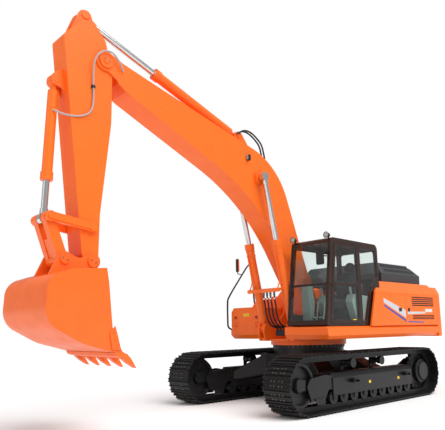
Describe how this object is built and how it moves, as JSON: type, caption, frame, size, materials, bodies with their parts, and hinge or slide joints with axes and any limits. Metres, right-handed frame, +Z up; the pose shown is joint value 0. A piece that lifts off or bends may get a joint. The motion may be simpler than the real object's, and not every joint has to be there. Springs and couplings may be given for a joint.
{
  "type": "crawler excavator",
  "caption": "Crawler excavator with a slewing house, side cab, boom, arm and toothed bucket worked by cylinders, on lugged steel tracks.",
  "frame": {"origin": "point on the ground under the swing axis", "axes": "+X forwards to the bucket, +Y to the left (cab side), +Z up"},
  "size_m": [9.6275, 3.19, 6.5278],
  "materials": {
    "orange_paint": "satin orange enamel",
    "black_paint": "satin black enamel",
    "track_steel": "dark painted cast steel",
    "cab_paint": "dark brown gloss enamel",
    "glass": "clear safety glass",
    "chrome": "hard chrome",
    "grey_plastic": "pale grey green moulding",
    "seat_fabric": "dark woven cloth",
    "engine_grey": "grey paint on castings"
  },
  "bodies": {
    "undercarriage": {"car_body": "black_paint", "final_drive_left": "black_paint", "final_drive_right": "black_paint", "idler_left": "black_paint", "idler_right": "black_paint", "slew_ring": "black_paint", "track_frame_left": "black_paint", "track_frame_right": "black_paint", "track_left": "track_steel", "track_right": "track_steel", "track_rollers_left": "black_paint", "track_rollers_right": "black_paint"},
    "house": {"cab_consoles": "grey_plastic", "cab_glass": "glass", "cab_shell": "cab_paint", "counterweight": "orange_paint", "driver_seat": "seat_fabric", "engine": "engine_grey", "fuel_tank": "orange_paint", "house_frame": "orange_paint", "left_house": "orange_paint", "oil_tank": "orange_paint", "radiator": "engine_grey", "right_house": "orange_paint", "swing_drive": "engine_grey", "tool_box": "orange_paint"},
    "boom": {"boom": "orange_paint"},
    "arm": {"arm": "orange_paint"},
    "bucket": {"bucket": "orange_paint"},
    "rocker": {"rocker_bars": "orange_paint"},
    "bucket_link": {"bucket_link": "orange_paint"},
    "boom_tubes": {"boom_cylinder_tubes": "orange_paint"},
    "boom_rods": {"boom_cylinder_rods": "chrome"},
    "arm_tube": {"arm_cylinder_tube": "orange_paint"},
    "arm_rod": {"arm_cylinder_rod": "chrome"},
    "bucket_tube": {"bucket_cylinder_tube": "orange_paint"},
    "bucket_rod": {"bucket_cylinder_rod": "chrome"},
    "cab_door": {"cab_door": "cab_paint", "door_glass": "glass"},
    "left_front_door": {"left_front_door": "orange_paint"},
    "left_rear_door": {"left_rear_door": "orange_paint"},
    "right_door": {"right_door": "orange_paint"},
    "engine_hood": {"engine_hood": "black_paint"},
    "tool_box_lid": {"tool_box_lid": "orange_paint"}
  },
  "joints": [
    {"name": "swing", "type": "hinge", "parent": "undercarriage", "child": "house", "pos_m": [0, 0, 0], "axis": [0, 0, 1], "continuous": true},
    {"name": "boom_lift", "type": "hinge", "parent": "house", "child": "boom", "pos_m": [0.1, 0, 1.9], "axis": [0, -1, 0], "range_deg": [-70, 26]},
    {"name": "arm_swing", "type": "hinge", "parent": "boom", "child": "arm", "pos_m": [5.11, 0, 5.72], "axis": [0, 1, 0], "range_deg": [-85, 27]},
    {"name": "bucket_curl", "type": "hinge", "parent": "arm", "child": "bucket", "pos_m": [5.265, 0, 2.47], "axis": [0, 1, 0], "range_deg": [-35, 120]},
    {"name": "rocker_swing", "type": "hinge", "parent": "arm", "child": "rocker", "pos_m": [5.27, 0, 2.984], "axis": [0, 1, 0], "range_deg": [-21.34, 73.15]},
    {"name": "bucket_link_swing", "type": "hinge", "parent": "rocker", "child": "bucket_link", "pos_m": [5.94, 0, 3.072], "axis": [0, 1, 0], "range_deg": [-42.9, 12.52]},
    {"name": "boom_tube_tilt", "type": "hinge", "parent": "house", "child": "boom_tubes", "pos_m": [0.93, 0, 1.45], "axis": [0, -1, 0], "range_deg": [-73.76, 27.4]},
    {"name": "boom_rod_slide", "type": "slide", "parent": "boom_tubes", "child": "boom_rods", "axis": [0.2309, 0, 0.973], "range_m": [-1.06947, 0.39729]},
    {"name": "arm_tube_tilt", "type": "hinge", "parent": "boom", "child": "arm_tube", "pos_m": [2.05, 0, 5.225], "axis": [0, 1, 0], "range_deg": [-5.37, 1.71]},
    {"name": "arm_rod_slide", "type": "slide", "parent": "arm_tube", "child": "arm_rod", "axis": [0.941, 0, 0.3383], "range_m": [-1.05415, 0.33492]},
    {"name": "bucket_tube_tilt", "type": "hinge", "parent": "arm", "child": "bucket_tube", "pos_m": [5.865, 0, 5.205], "axis": [0, 1, 0], "range_deg": [-1.89, 6.47]},
    {"name": "bucket_rod_slide", "type": "slide", "parent": "bucket_tube", "child": "bucket_rod", "axis": [0.0351, 0, -0.9994], "range_m": [-0.22686, 0.77757]},
    {"name": "cab_door_hinge", "type": "hinge", "parent": "house", "child": "cab_door", "pos_m": [0.112, 1.434, 2.2], "axis": [0, 0, 1], "range_deg": [0, 120]},
    {"name": "left_front_door_hinge", "type": "hinge", "parent": "house", "child": "left_front_door", "pos_m": [-0.56, 1.501, 1.8], "axis": [0, 0, -1], "range_deg": [0, 90]},
    {"name": "left_rear_door_hinge", "type": "hinge", "parent": "house", "child": "left_rear_door", "pos_m": [-1.49, 1.501, 1.8], "axis": [0, 0, -1], "range_deg": [0, 90]},
    {"name": "right_door_hinge", "type": "hinge", "parent": "house", "child": "right_door", "pos_m": [-1.49, -1.501, 1.8], "axis": [0, 0, 1], "range_deg": [0, 90]},
    {"name": "engine_hood_hinge", "type": "hinge", "parent": "house", "child": "engine_hood", "pos_m": [-1.19, 0, 2.3853], "axis": [0, 1, 0], "range_deg": [0, 55]},
    {"name": "tool_box_lid_hinge", "type": "hinge", "parent": "house", "child": "tool_box_lid", "pos_m": [0.156, -1, 1.905], "axis": [0, -1, 0], "range_deg": [0, 75]}
  ],
  "couplings": [
    {"joint": "rocker_swing", "follows": "bucket_curl", "ratio": 0.6095},
    {"joint": "bucket_link_swing", "follows": "bucket_curl", "ratio": -0.3574},
    {"joint": "boom_tube_tilt", "follows": "boom_lift", "ratio": 1.0536},
    {"joint": "boom_rod_slide", "follows": "boom_lift", "m_per_rad": 0.87529},
    {"joint": "arm_tube_tilt", "follows": "arm_swing", "ratio": 0.063},
    {"joint": "arm_rod_slide", "follows": "arm_swing", "m_per_rad": 0.7105},
    {"joint": "bucket_tube_tilt", "follows": "bucket_curl", "ratio": 0.0538},
    {"joint": "bucket_rod_slide", "follows": "bucket_curl", "m_per_rad": 0.37121}
  ]
}
